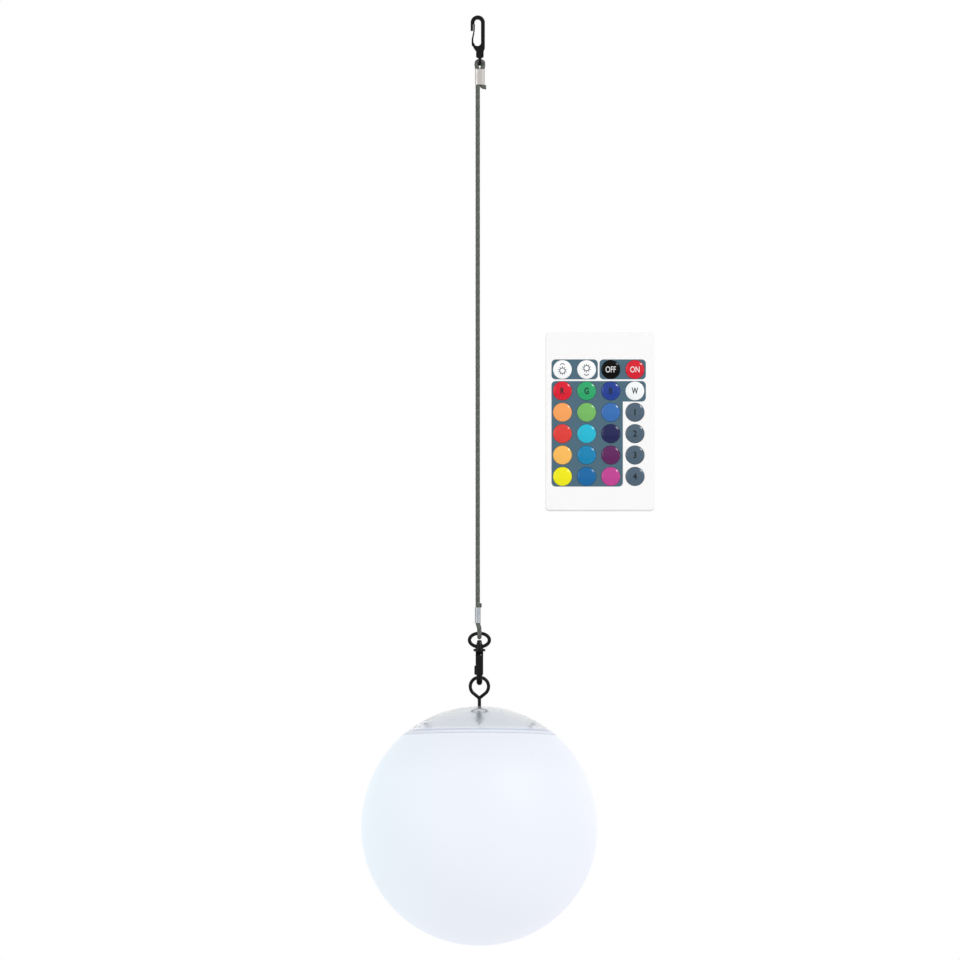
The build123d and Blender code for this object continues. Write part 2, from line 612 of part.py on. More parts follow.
def make_module_housing():
    """Flange under the dome, tray for the solar panel and a cup that hangs inside the globe."""
    tray_r = panel_r + PANEL_PLAY
    floor_r = tray_r + TRAY_WALL
    shell = turned([
        (0, panel_floor), (tray_r, panel_floor), (tray_r, rim_z), (half_width(rim_z), rim_z),
        (half_width(flange_low), flange_low), (cup_r, flange_low), (cup_r, cup_low), (cup_in, cup_low),
        (cup_in, step_z), (floor_r, step_z), (floor_r, tray_low), (0, tray_low)])
    for angle, x, y in around(DOME_SCREWS, dome_screw_r, DOME_SCREW_START):
        shell -= Pos(x, y, step_z) * Cylinder(SCREW_DIAMETER / 2 + SCREW_FIT, 4 * (rim_z - step_z))
    lug_top = collar_end - LUG_GAP
    for angle, x, y in around(LUG_COUNT, cup_r, LUG_START):
        lug = Pos(0, 0, lug_top - LUG_HEIGHT / 2) * Box(2 * LUG_REACH, LUG_LENGTH, LUG_HEIGHT)
        shell += Pos(x, y, 0) * Rot(0, 0, angle) * lug
    lug_cut = Pos(0, 0, lug_top - LUG_HEIGHT / 2) * Cylinder(cup_in, LUG_HEIGHT * 2)
    shell -= lug_cut
    for angle, x, y in around(LID_SCREWS, lid_screw_r, LID_SCREW_START):
        post = Pos(x, y, (tray_low + cup_low) / 2) * Cylinder(SCREW_POST / 2, tray_low - cup_low)
        bore_low = cup_low + LID_SCREW_BITE / 2
        shell += post
        shell -= Pos(x, y, bore_low) * Cylinder(SCREW_DIAMETER / 2 + SCREW_FIT, LID_SCREW_BITE + 1)
    shell += make_cradle()
    return LOWER * shell


def make_cradle():
    """Two saddles and two end walls that hold the cell under the tray."""
    wide = CELL_DIAMETER + 2 * CRADLE_EDGE
    low = cell_z - CELL_DIAMETER * CRADLE_REACH
    parts = None
    for x in (-CELL_LENGTH * CRADLE_PLACE, CELL_LENGTH * CRADLE_PLACE):
        rib = slab(x - CRADLE_THICKNESS / 2, x + CRADLE_THICKNESS / 2, -wide / 2, wide / 2, low, tray_low)
        parts = rib if parts is None else parts + rib
    parts -= Pos(0, 0, cell_z) * rod_x(CELL_DIAMETER / 2 + CUP_PLAY / 2, CELL_LENGTH)
    gap = CELL_LENGTH / 2 + CONTACT_THICKNESS + 2 * CONTACT_PLAY
    for side in (-1, 1):
        x0, x1 = sorted((side * gap, side * (gap + CRADLE_THICKNESS)))
        parts += slab(x0, x1, -CELL_DIAMETER / 4, CELL_DIAMETER / 4, low, tray_low)
    return parts


def make_dome_screws():
    """Self-tapping screws from inside the cup up into the dome's posts."""
    length = post_top() - POST_ROOF - SCREW_TIP - step_z
    screws = []
    for angle, x, y in around(DOME_SCREWS, dome_screw_r, DOME_SCREW_START):
        shank = Cylinder(SCREW_DIAMETER / 2, length, align=(Align.CENTER, Align.CENTER, Align.MIN))
        head = Pos(0, 0, -SCREW_HEAD_HEIGHT / 2) * Cylinder(SCREW_HEAD / 2, SCREW_HEAD_HEIGHT)
        screws.append(LOWER * Pos(x, y, step_z) * (shank + head))
    return Compound(children=screws)


def make_solar_panel():
    return LOWER * Pos(0, 0, panel_floor + PANEL_THICKNESS / 2) * Cylinder(panel_r, PANEL_THICKNESS)


def make_seal_ring():
    inner = seal_r - SEAL_WIDTH / 2
    outer = seal_r + SEAL_WIDTH / 2
    low = flange_low - SEAL_HEIGHT
    return LOWER * turned([(inner, low), (outer, low), (outer, flange_low), (inner, flange_low)])


def make_battery_cell():
    can = Pos(0, 0, cell_z) * rod_x(CELL_DIAMETER / 2, CELL_LENGTH - 2 * CELL_TIP_HEIGHT)
    tip = Pos(0, 0, cell_z) * rod_x(CELL_TIP_RADIUS, CELL_LENGTH)
    return LOWER * (can + tip)


def make_cell_contacts():
    plates = []
    for side in (-1, 1):
        x = side * (CELL_LENGTH / 2 + CONTACT_THICKNESS / 2 + CONTACT_PLAY)
        plates.append(LOWER * Pos(x, 0, cell_z) * Box(CONTACT_THICKNESS, CELL_DIAMETER / 2, CELL_DIAMETER / 2))
    return Compound(children=plates)


def make_light_board():
    board = Pos(0, 0, board_low + BOARD_THICKNESS / 2) * Cylinder(board_r, BOARD_THICKNESS)
    button_top = cup_low + BUTTON_REST + BUTTON_FLANGE_THICKNESS
    high = board_low - button_top - BUTTON_TRAVEL - SWITCH_PLAY
    switch = Pos(BUTTON_OFFSET, 0, board_low - high / 2) * Box(SWITCH_WIDTH, SWITCH_WIDTH, high)
    return LOWER * (board + switch)


def make_colour_leds():
    leds = []
    for angle, x, y in around(LED_COUNT, LED_CIRCLE, 0):
        package = Pos(x, y, board_low - LED_HEIGHT / 2) * Rot(0, 0, angle) * Box(LED_SIZE, LED_SIZE, LED_HEIGHT)
        leds.append(LOWER * package)
    return Compound(children=leds)


def make_led_lens():
    """Clear cap over the LEDs: a shallow dome on a thin flange."""
    flange = Pos(0, 0, lid_low - LENS_WALL / 2) * Cylinder(LENS_RADIUS, LENS_WALL)
    lens = flange + cap_solid(WINDOW_RADIUS, lid_low, -LENS_HEIGHT)
    return LOWER * (lens - cap_solid(WINDOW_RADIUS - LENS_WALL, lid_low, LENS_WALL - LENS_HEIGHT))


def make_infrared_receiver():
    body = slab(-RECEIVER_WIDTH / 2, RECEIVER_WIDTH / 2, RECEIVER_OFFSET - RECEIVER_DEPTH / 2,
                RECEIVER_OFFSET + RECEIVER_DEPTH / 2, board_low - RECEIVER_LENGTH, board_low)
    body = fillet(body.edges().group_by(Axis.Z)[0], 1.2)
    return LOWER * body


def make_module_lid():
    lid = Pos(0, 0, (cup_low + lid_low) / 2) * Cylinder(cup_r, LID_THICKNESS)
    spigot_r = cup_in - SPIGOT_PLAY
    middle = cup_low + SPIGOT_HEIGHT / 2
    spigot = Cylinder(spigot_r, SPIGOT_HEIGHT) - Cylinder(spigot_r - SPIGOT_WALL, SPIGOT_HEIGHT * 2)
    spigot = Pos(0, 0, middle) * spigot
    for angle, x, y in around(LID_SCREWS, lid_screw_r, LID_SCREW_START):
        spigot -= Pos(x, y, middle) * Cylinder(SCREW_POST / 2 + 2 * SPIGOT_PLAY, SPIGOT_HEIGHT * 2)
    lid += spigot
    for angle, x, y in around(LID_SCREWS, board_r - 1.5 * LID_POST_RADIUS, 2 * LID_SCREW_START):
        lid += Pos(x, y, cup_low + BOARD_STANDOFF / 2) * Cylinder(LID_POST_RADIUS, BOARD_STANDOFF)
    for angle, x, y in around(LID_SCREWS, lid_screw_r, LID_SCREW_START):
        lid -= Pos(x, y, cup_low) * Cylinder(SCREW_DIAMETER / 2 + SCREW_FIT, 3 * LID_THICKNESS)
    lid -= Pos(0, 0, cup_low) * Cylinder(WINDOW_RADIUS - LENS_WALL, 3 * LID_THICKNESS)
    lid -= Pos(BUTTON_OFFSET, 0, cup_low) * Cylinder(BUTTON_RADIUS + BUTTON_FIT, 3 * LID_THICKNESS)
    wide, deep = RECEIVER_WIDTH + 2 * SEAL_PLAY, RECEIVER_DEPTH + 2 * SEAL_PLAY
    lid -= Pos(0, RECEIVER_OFFSET, cup_low) * Box(wide, deep, 3 * LID_THICKNESS)
    return LOWER * lid


def make_lid_screws():
    screws = []
    for angle, x, y in around(LID_SCREWS, lid_screw_r, LID_SCREW_START):
        shank = Cylinder(SCREW_DIAMETER / 2, LID_SCREW_BITE + LID_THICKNESS - 1,
                         align=(Align.CENTER, Align.CENTER, Align.MIN))
        head = Pos(0, 0, -SCREW_HEAD_HEIGHT / 2) * Cylinder(SCREW_HEAD / 2, SCREW_HEAD_HEIGHT)
        screws.append(LOWER * Pos(x, y, lid_low) * (shank + head))
    return Compound(children=screws)


def make_switch_button():
    low = lid_low - BUTTON_PROUD
    seat = cup_low + BUTTON_REST
    stem = Pos(0, 0, (low + seat) / 2) * Cylinder(BUTTON_RADIUS, seat - low)
    stem = fillet(stem.edges().group_by(Axis.Z)[0], 0.5)
    thick = BUTTON_FLANGE_THICKNESS
    flange = Pos(0, 0, seat + thick / 2) * Cylinder(BUTTON_FLANGE, thick)
    return LOWER * Pos(BUTTON_OFFSET, 0, 0) * (stem + flange)


def make_globe_shell():
    """Frosted blow-moulded globe with a bayonet neck: the lugs pass its notches and lock under it."""
    wall = GLOBE_WALL
    bore = collar_r
    outer_collar = collar_r + COLLAR_WALL
    under = neck_z - NECK_THICKNESS
    mid = globe_mid_z
    start = degrees(asin((neck_z - mid) / GLOBE_CROWN))
    inner_start = degrees(asin((under - mid) / (GLOBE_CROWN - wall)))
    r_in = GLOBE_RADIUS - wall
    outer = EllipticalCenterArc((0, mid), GLOBE_RADIUS, GLOBE_CROWN, start_angle=0, arc_size=start)
    inner = EllipticalCenterArc((0, mid), r_in, GLOBE_CROWN - wall, start_angle=0, arc_size=inner_start)
    equator = Line((GLOBE_RADIUS, mid), (r_in, mid))
    bowl = spun([
        CenterArc((0, mid), GLOBE_RADIUS, -90, 90),
        equator,
        CenterArc((0, mid), r_in, -90, 90),
        Line((0, mid - r_in), (0, mid - GLOBE_RADIUS)),
    ])
    top = spun([
        outer,
        Line(outer @ 1, (bore, neck_z)),
        Line((bore, neck_z), (bore, collar_end)),
        Line((bore, collar_end), (outer_collar, collar_end)),
        Line((outer_collar, collar_end), (outer_collar, under)),
        Line((outer_collar, under), inner @ 1),
        inner,
        equator,
    ])
    shell = bowl + top
    groove_in = seal_r - SEAL_WIDTH / 2 - SEAL_PLAY
    groove_out = seal_r + SEAL_WIDTH / 2 + SEAL_PLAY
    floor = flange_low - SEAL_HEIGHT - SEAL_PLAY
    shell -= turned([(groove_in, floor), (groove_out, floor), (groove_out, neck_z + 1), (groove_in, neck_z + 1)])
    for angle, x, y in around(LUG_COUNT, bore, LUG_START + LOCK_TURN):
        reach = 2 * (LUG_REACH + LUG_PLAY)
        notch = Pos(x, y, (collar_end + neck_z) / 2) * Rot(0, 0, angle)
        shell -= notch * Box(reach, LUG_LENGTH + 3 * LUG_PLAY, COLLAR_DEPTH * 1.5)
    return LOWER * shell


# ---------------------------------------------------------------- remote control

def rounded_block(width, height, y0, y1, corner):
    face = Plane.XZ * RectangleRounded(width, height, corner)
    return Pos(0, y1, 0) * extrude(face, y1 - y0)


def key_places():
    """Row, column and place of each key on the face, rows from the top and columns from the left."""
    for row in range(KEY_ROWS):
        for column in range(KEY_COLUMNS):
            x = KEYS_LEFT + (column - (KEY_COLUMNS - 1) / 2) * KEY_PITCH_X
            z = KEY_TOP_ROW - row * KEY_PITCH_Z
            yield row, column, x, z


def make_key():
    """Domed key, with the flange that keeps it in and the stem that meets the board."""
    crown = face_y - KEY_PROUD
    edge = face_y - KEY_PROUD * 0.35
    stem_end = pcb_front - KEY_TRAVEL - 0.1
    edges = [
        Line((0, -stem_end), (KEY_STEM / 2, -stem_end)),
        Line((KEY_STEM / 2, -stem_end), (KEY_STEM / 2, -rim_back)),
        Line((KEY_STEM / 2, -rim_back), (key_r + KEY_RIM, -rim_back)),
        Line((key_r + KEY_RIM, -rim_back), (key_r + KEY_RIM, -rim_front)),
        Line((key_r + KEY_RIM, -rim_front), (key_r, -rim_front)),
        Line((key_r, -rim_front), (key_r, -edge)),
        cap_arc(key_r, -edge, edge - crown),
        Line((0, -crown), (0, -stem_end)),
    ]
    return Rot(90, 0, 0) * spun(edges)


def drill_keys(solid, radius, y0, y1):
    for row, column, x, z in key_places():
        solid -= Pos(x, (y0 + y1) / 2, z) * rod_y(radius, y1 - y0)
    return solid


def print_panels():
    """Outlines of the three printed fields as blocks: two over the top row, one L round the rest."""
    edge_x = 1.5 * KEY_PITCH_X + key_r + PRINT_MARGIN
    half_gap = PRINT_SPLIT / 2
    top = KEY_TOP_ROW + key_r + PRINT_MARGIN / 2
    step = KEY_TOP_ROW - KEY_PITCH_Z / 2
    low = KEY_TOP_ROW - 5 * KEY_PITCH_Z - key_r - PRINT_MARGIN / 2
    shelf = KEY_TOP_ROW - 1.5 * KEY_PITCH_Z
    notch_x = KEY_PITCH_X
    y0, y1 = face_y, face_y + PRINT_THICKNESS

    def field(x0, x1, z0, z1):
        block = rounded_block(x1 - x0, z1 - z0, y0, y1, PRINT_CORNER)
        return Pos(KEYS_LEFT + (x0 + x1) / 2, 0, (z0 + z1) / 2) * block

    left = field(-edge_x, -half_gap, step + half_gap, top)
    right = field(half_gap, edge_x, step + half_gap, top)
    main = field(-edge_x, notch_x, low, step - half_gap) + field(-edge_x, edge_x, shelf, step - half_gap)
    return [left, right, main]


def make_remote_panels():
    fields = []
    for block in print_panels():
        for row, column, x, z in key_places():
            block -= Pos(x, face_y, z) * rod_y(key_r + KEY_FIT, 4)
        fields.append(REMOTE * block)
    return Compound(children=fields)


def make_remote_front():
    shell = rounded_block(REMOTE_WIDTH, REMOTE_HEIGHT, face_y, split_y, REMOTE_CORNER)
    shell = fillet(shell.edges().group_by(Axis.Y)[0], REMOTE_EDGE)
    inner_w = REMOTE_WIDTH - 2 * REMOTE_WALL
    inner_h = REMOTE_HEIGHT - 2 * REMOTE_WALL
    shell -= rounded_block(inner_w, inner_h, face_y + FACE_WALL, split_y + 1, REMOTE_CORNER / 2)
    for block in print_panels():
        shell -= block
    return REMOTE * drill_keys(shell, key_r + KEY_FIT, face_y - 1, face_y + 2)


def make_remote_back():
    """Back shell with the slot and rails of the cell carrier, board posts and the LED's hole."""
    shell = rounded_block(REMOTE_WIDTH, REMOTE_HEIGHT, split_y, back_y, REMOTE_CORNER)
    shell = fillet(shell.edges().group_by(Axis.Y)[-1], REMOTE_EDGE)
    inner_w = REMOTE_WIDTH - 2 * REMOTE_WALL
    inner_h = REMOTE_HEIGHT - 2 * REMOTE_WALL
    floor = back_y - FACE_WALL
    shell -= rounded_block(inner_w, inner_h, split_y - 1, floor, REMOTE_CORNER / 2)
    low = -REMOTE_HEIGHT / 2
    rail_high = low + carrier_length
    for side in (-1, 1):
        x0, x1 = sorted((side * (carrier_width / 2 + CARRIER_FIT), side * (carrier_width / 2 + RAIL_WIDTH)))
        shell += slab(x0, x1, carrier_front, floor, low + REMOTE_WALL, rail_high)
        for z in (-SUPPORT_Z, SUPPORT_Z):
            shell += Pos(side * SUPPORT_X, (pcb_back + floor) / 2, z) * rod_y(SUPPORT_POST / 2, floor - pcb_back)
    half = carrier_width / 2 + CARRIER_FIT
    shell -= slab(-half, half, carrier_front - CARRIER_FIT, carrier_front + COIN_THICKNESS + CARRIER_FIT,
                  low - 1, low + REMOTE_WALL + 1)
    led_y = carrier_front + IR_LED_DIAMETER / 2
    shell -= Pos(0, led_y, REMOTE_HEIGHT / 2) * Cylinder(IR_LED_DIAMETER / 2 + CARRIER_FIT, 2 * REMOTE_WALL + 1)
    return REMOTE * shell


def make_keypad_mat():
    wide = REMOTE_WIDTH - 2 * (REMOTE_WALL + PCB_MARGIN)
    high = REMOTE_HEIGHT - 2 * (REMOTE_WALL + PCB_MARGIN) - 8
    mat = rounded_block(wide, high, mat_front, pcb_front, 1)
    return REMOTE * drill_keys(mat, KEY_STEM / 2 + 0.5, mat_front - 1, pcb_front + 1)


def make_remote_board():
    wide = REMOTE_WIDTH - 2 * REMOTE_WALL - 1
    high = REMOTE_HEIGHT - 2 * REMOTE_WALL - 1
    return REMOTE * rounded_block(wide, high, pcb_front, pcb_back, 1)


def coin_z():
    return -REMOTE_HEIGHT / 2 + CARRIER_TAIL + COIN_DIAMETER / 2


def make_remote_contacts():
    strips = []
    for x in (-5.0, 5.0):
        y0 = pcb_back
        strips.append(REMOTE * slab(x - 1.5, x + 1.5, y0, y0 + 2 * CARRIER_FIT, coin_z() - 6, coin_z() + 6))
    return Compound(children=strips)


def make_infrared_led():
    y = carrier_front + IR_LED_DIAMETER / 2
    top = REMOTE_HEIGHT / 2 - 0.3
    body = Pos(0, y, top - IR_LED_LENGTH / 2) * Cylinder(IR_LED_DIAMETER / 2, IR_LED_LENGTH)
    body = fillet(body.edges().group_by(Axis.Z)[-1], IR_LED_DIAMETER * 0.35)
    return REMOTE * body


def make_coin_cell():
    y = carrier_front + COIN_THICKNESS / 2
    return REMOTE * Pos(0, y, coin_z()) * rod_y(COIN_DIAMETER / 2, COIN_THICKNESS)


def make_cell_carrier():
    """Pull-out carrier round the coin cell; its tail closes the slot in the lower edge."""
    low = -REMOTE_HEIGHT / 2
    body = slab(-carrier_width / 2, carrier_width / 2, carrier_front, carrier_front + COIN_THICKNESS,
                low, low + carrier_length)
    y = carrier_front + COIN_THICKNESS / 2
    body -= Pos(0, y, coin_z()) * rod_y(COIN_DIAMETER / 2 + CORD_FIT, COIN_THICKNESS * 2)
    grip = Pos(carrier_width / 2 - 3, y, low) * Box(3, COIN_THICKNESS * 0.5, 1.2)
    return REMOTE * (body - grip)


def write(name, shape):
    shape.label = name
    export_step(shape, os.path.join("parts", name + ".step"))


os.makedirs("parts", exist_ok=True)

write("top_hook", make_top_hook())
write("hook_gate", make_hook_gate())
write("cord", make_cord())
write("upper_ferrule", make_ferrule(upper_top, (eye_x, 0), 0))
write("lower_ferrule", make_ferrule(lower_top, (0, low_y), 90))
write("swivel_ring", make_swivel_ring())
write("snap_body", make_snap_body())
write("snap_gate", make_snap_gate())
write("gate_pin", make_gate_pin())
write("gate_spring", make_gate_spring())
write("eye_screw", make_eye_screw())
write("eye_nut", make_eye_nut())
write("clear_dome", make_clear_dome())
write("module_housing", make_module_housing())
write("dome_screws", make_dome_screws())
write("solar_panel", make_solar_panel())
write("seal_ring", make_seal_ring())
write("battery_cell", make_battery_cell())
write("cell_contacts", make_cell_contacts())
write("light_board", make_light_board())
write("colour_leds", make_colour_leds())
write("led_lens", make_led_lens())
write("infrared_receiver", make_infrared_receiver())
write("module_lid", make_module_lid())
write("lid_screws", make_lid_screws())
write("switch_button", make_switch_button())
write("globe_shell", make_globe_shell())
write("remote_front", make_remote_front())
write("remote_back", make_remote_back())
write("remote_panels", make_remote_panels())
write("keypad_mat", make_keypad_mat())
write("remote_board", make_remote_board())
write("remote_contacts", make_remote_contacts())
write("infrared_led", make_infrared_led())
write("coin_cell", make_coin_cell())
write("cell_carrier", make_cell_carrier())

for row, column, x, z in key_places():
    write(f"key_{row + 1}{'abcd'[column]}", REMOTE * Pos(x, 0, z) * make_key())
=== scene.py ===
import bpy, bmesh, math
from mathutils import Matrix, Quaternion, Vector


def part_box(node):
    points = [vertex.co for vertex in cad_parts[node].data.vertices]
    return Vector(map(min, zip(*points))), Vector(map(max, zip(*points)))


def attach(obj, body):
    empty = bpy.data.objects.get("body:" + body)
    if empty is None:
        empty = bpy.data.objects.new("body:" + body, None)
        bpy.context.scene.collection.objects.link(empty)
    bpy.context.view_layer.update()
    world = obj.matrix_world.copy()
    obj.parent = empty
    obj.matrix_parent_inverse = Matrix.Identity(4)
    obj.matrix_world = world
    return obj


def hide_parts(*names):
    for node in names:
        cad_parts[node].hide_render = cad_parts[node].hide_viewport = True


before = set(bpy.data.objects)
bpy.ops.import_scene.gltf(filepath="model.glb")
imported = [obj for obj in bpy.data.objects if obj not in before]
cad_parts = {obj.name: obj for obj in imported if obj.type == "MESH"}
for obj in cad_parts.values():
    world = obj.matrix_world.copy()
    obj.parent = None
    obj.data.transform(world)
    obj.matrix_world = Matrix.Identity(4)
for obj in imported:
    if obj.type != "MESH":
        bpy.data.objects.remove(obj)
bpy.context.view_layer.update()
MM = 0.001


# ------------------------------------------------------------------ camera
# The set is seen square on from 8 m, a little from below, so that the line under the clear dome
# curves upwards. One picture height is 464.2 mm at the cord.
lens_mm = 622.2
stand_off = 8.0
look_at = Vector((1.09, 0.0, -221.3)) * MM
below = math.radians(3.5)
eye_point = look_at + Vector((0.0, -math.cos(below), -math.sin(below))) * stand_off
camera_data = bpy.data.cameras.new("studio_camera")
camera_data.type = "PERSP"
camera_data.lens = lens_mm
camera_data.sensor_width = 36.0
camera_data.clip_end = 60.0
camera = bpy.data.objects.new("studio_camera", camera_data)
camera.location = eye_point
camera.rotation_euler = (look_at - eye_point).to_track_quat("-Z", "Y").to_euler()
bpy.context.scene.collection.objects.link(camera)
bpy.context.scene.camera = camera
bpy.context.scene.view_settings.view_transform = "Standard"


# ------------------------------------------------------------------ shared ways of making a finish
def linear(code):
    """An sRGB hex colour as linear RGBA."""
    parts = [int(code[i:i + 2], 16) / 255 for i in (1, 3, 5)]
    return [c / 12.92 if c <= 0.04045 else ((c + 0.055) / 1.055) ** 2.4 for c in parts] + [1.0]


def put(tree, kind, feeds=None, **settings):
    """Adds a node: settings are its own, feeds gives inputs a value or the output that drives them."""
    node = tree.nodes.new(kind)
    for key, value in settings.items():
        setattr(node, key, value)
    for key, value in (feeds or {}).items():
        if isinstance(value, bpy.types.NodeSocket):
            tree.links.new(value, node.inputs[key])
        else:
            node.inputs[key].default_value = value
    return node


def start_finish(name, colour, roughness, metallic=0.0, **shader):
    """A material with one Principled shader, its tree and the object's own coordinates."""
    finish = bpy.data.materials.new(name)
    finish.use_nodes = True
    tree = finish.node_tree
    surface = tree.nodes["Principled BSDF"]
    surface.inputs["Base Color"].default_value = linear(colour)
    surface.inputs["Roughness"].default_value = roughness
    surface.inputs["Metallic"].default_value = metallic
    for key, value in shader.items():
        surface.inputs[key.replace("_", " ")].default_value = value
    place = put(tree, "ShaderNodeTexCoord").outputs["Object"]
    return finish, tree, surface, place


def grain(tree, surface, place, size_mm, height_mm, spread=(0.0, 0.0), detail=3.0):
    """Fine relief of one grain size, and roughness that wanders with it between two values."""
    noise = put(tree, "ShaderNodeTexNoise", {"Vector": place, "Scale": 1000.0 / size_mm, "Detail": detail})
    bump = put(tree, "ShaderNodeBump", {"Height": noise.outputs["Fac"], "Distance": height_mm * MM,
                                        "Strength": 1.0})
    tree.links.new(bump.outputs["Normal"], surface.inputs["Normal"])
    if spread != (0.0, 0.0):
        band = put(tree, "ShaderNodeMapRange", {
            "Value": noise.outputs["Fac"], "From Min": 0.3, "From Max": 0.7,
            "To Min": spread[0], "To Max": spread[1]})
        tree.links.new(band.outputs["Result"], surface.inputs["Roughness"])
    return noise


def dress(names, finish):
    """Gives CAD nodes their finish."""
    for name in names:
        for place_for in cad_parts[name].material_slots:
            place_for.material = finish


# ------------------------------------------------------------------ cord
# Braided polyester cord, 2 mm thick: sixteen flat yarns plaited round a core. It loops through the
# hook's eye, runs down to the swivel ring, loops round it, and both tails end short, cut square.
cord_points = [
    (3.95, 0.0, -31.3), (2.05, 0.0, -31.3), (2.05, 0.0, -29.4), (2.05, 0.0, -22.5), (2.625, 0.0, -21.15),
    (2.625, 0.0, -18.65), (-0.575, 0.0, -18.65), (-0.575, 0.0, -21.15), (0.0, 0.0, -22.5),
    (0.0, 0.0, -34.5), (0.0, 0.0, -278.5), (0.0, 0.0, -290.8), (0.8, -0.875, -292.7),
    (0.8, -0.875, -297.15), (0.8, 2.925, -297.15), (0.8, 2.925, -292.7), (0.0, 2.05, -290.8),
    (0.0, 2.05, -283.6), (0.0, 2.05, -281.7), (1.9, 2.05, -281.7)]
core_radius = 0.95

route = bpy.data.curves.new("cord_core", "CURVE")
route.dimensions = "3D"
spline = route.splines.new("NURBS")
spline.points.add(len(cord_points) - 1)
for point, at in zip(spline.points, cord_points):
    point.co = (at[0] * MM, at[1] * MM, at[2] * MM, 1.0)
spline.order_u = 3
spline.use_endpoint_u = True
spline.resolution_u = 24
core = bpy.data.objects.new("cord_core", route)
bpy.context.scene.collection.objects.link(core)
bpy.context.view_layer.update()
traced = bpy.data.meshes.new_from_object(core)
line = [Vector(v.co) / MM for v in traced.vertices]
bpy.data.meshes.remove(traced)
route.bevel_depth = core_radius * MM
route.bevel_resolution = 5
route.use_fill_caps = True


def walk(points, step):
    """Points at even steps along a line, with the direction at each."""
    spots, carried, total = [], 0.0, 0.0
    for a, b in zip(points, points[1:]):
        run = (b - a).length
        while run > 0 and carried <= run:
            spots.append((a.lerp(b, carried / run), (b - a).normalized()))
            carried += step
        carried -= run
        total += run
    return spots, total


braid_step = 0.38
spots, traced_length = walk(line, braid_step)
print("cord centre line", round(traced_length, 1), "mm")

# The braid: eight yarns wind each way, each passing over two and under two of the others. A yarn
# is a flat lozenge across, with its edges a little lower than its middle.
yarn_count = 8
lay_length = 9.0
yarn_half_width = 0.345
yarn_half_depth = 0.11
yarn_edge_drop = 0.03
yarn_crown_share = 0.75
yarn_radius = 0.985
yarn_lift = 0.06

side = Vector((0.0, 1.0, 0.0))
normals = []
for spot, ahead in spots:
    side = (side - ahead * side.dot(ahead)).normalized()
    normals.append(side)
braid_mesh = bmesh.new()
shade_layer = braid_mesh.loops.layers.float_color.new("yarn")
for hand in (-1, 1):
    for yarn in range(yarn_count):
        ring_before = None
        for i, (spot, ahead) in enumerate(spots):
            turn = hand * 2 * math.pi * i * braid_step / lay_length + 2 * math.pi * yarn / yarn_count
            crossing = 2 * yarn_count * i * braid_step / lay_length + yarn
            weave = math.sin(math.pi * crossing / 2 + (math.pi / 2 if hand > 0 else -math.pi / 2))
            outward = Quaternion(ahead, turn) @ normals[i]
            across = ahead.cross(outward)
            lean = math.atan(2 * math.pi * yarn_radius / lay_length) * hand
            flat = across * math.cos(lean) - ahead * math.sin(lean)
            middle = spot + outward * (yarn_radius + yarn_lift * weave)
            ring = [braid_mesh.verts.new((middle + flat * a + outward * b) * MM) for a, b in (
                (-yarn_half_width, -yarn_edge_drop), (0.0, yarn_half_depth * yarn_crown_share),
                (yarn_half_width, -yarn_edge_drop), (0.0, -yarn_half_depth))]
            if ring_before:
                for k in range(4):
                    face = braid_mesh.faces.new((ring_before[k], ring_before[k - 1], ring[k - 1], ring[k]))
                    tone = (yarn * 5 + (3 if hand > 0 else 0)) % 8 / 7
                    for corner in face.loops:
                        corner[shade_layer] = (tone, tone, tone, 1.0)
            else:
                braid_mesh.faces.new(ring)
            ring_before = ring
        braid_mesh.faces.new(ring_before[::-1])
bmesh.ops.recalc_face_normals(braid_mesh, faces=braid_mesh.faces)
for face in braid_mesh.faces:
    face.smooth = True
braid_data = bpy.data.meshes.new("cord_braid")
braid_mesh.to_mesh(braid_data)
braid_mesh.free()
braid = bpy.data.objects.new("cord_braid", braid_data)
bpy.context.scene.collection.objects.link(braid)

# Polyester yarn, grey with an olive cast: matt, hairy, and each yarn a little lighter or darker.
yarn_finish, tree, surface, place = start_finish("braided_polyester", "#6d716a", 0.85, Sheen_Weight=0.25,
                                                 Specular_IOR_Level=0.25)
tone = put(tree, "ShaderNodeAttribute", attribute_name="yarn")
ramp = put(tree, "ShaderNodeValToRGB", {"Fac": tone.outputs["Fac"]})
ramp.color_ramp.elements[0].color = linear("#4c504b")
ramp.color_ramp.elements[1].color = linear("#6b6f68")
fleck = put(tree, "ShaderNodeTexNoise", {"Vector": place, "Scale": 2200.0, "Detail": 2.0})
blend = put(tree, "ShaderNodeMix", {"Factor": 0.35, "A": ramp.outputs["Color"], "B": fleck.outputs["Color"]},
            data_type="RGBA", blend_type="SOFT_LIGHT")
tree.links.new(blend.outputs["Result"], surface.inputs["Base Color"])
bump = put(tree, "ShaderNodeBump", {"Height": fleck.outputs["Fac"], "Distance": 0.00006, "Strength": 1.0})
tree.links.new(bump.outputs["Normal"], surface.inputs["Normal"])
core_finish, tree, surface, place = start_finish("cord_core_fibre", "#3e413b", 0.95, Specular_IOR_Level=0.2)
grain(tree, surface, place, 0.3, 0.05)
route.materials.append(core_finish)
braid_data.materials.append(yarn_finish)
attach(core, "cord")
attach(braid, "cord")
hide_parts("cord")

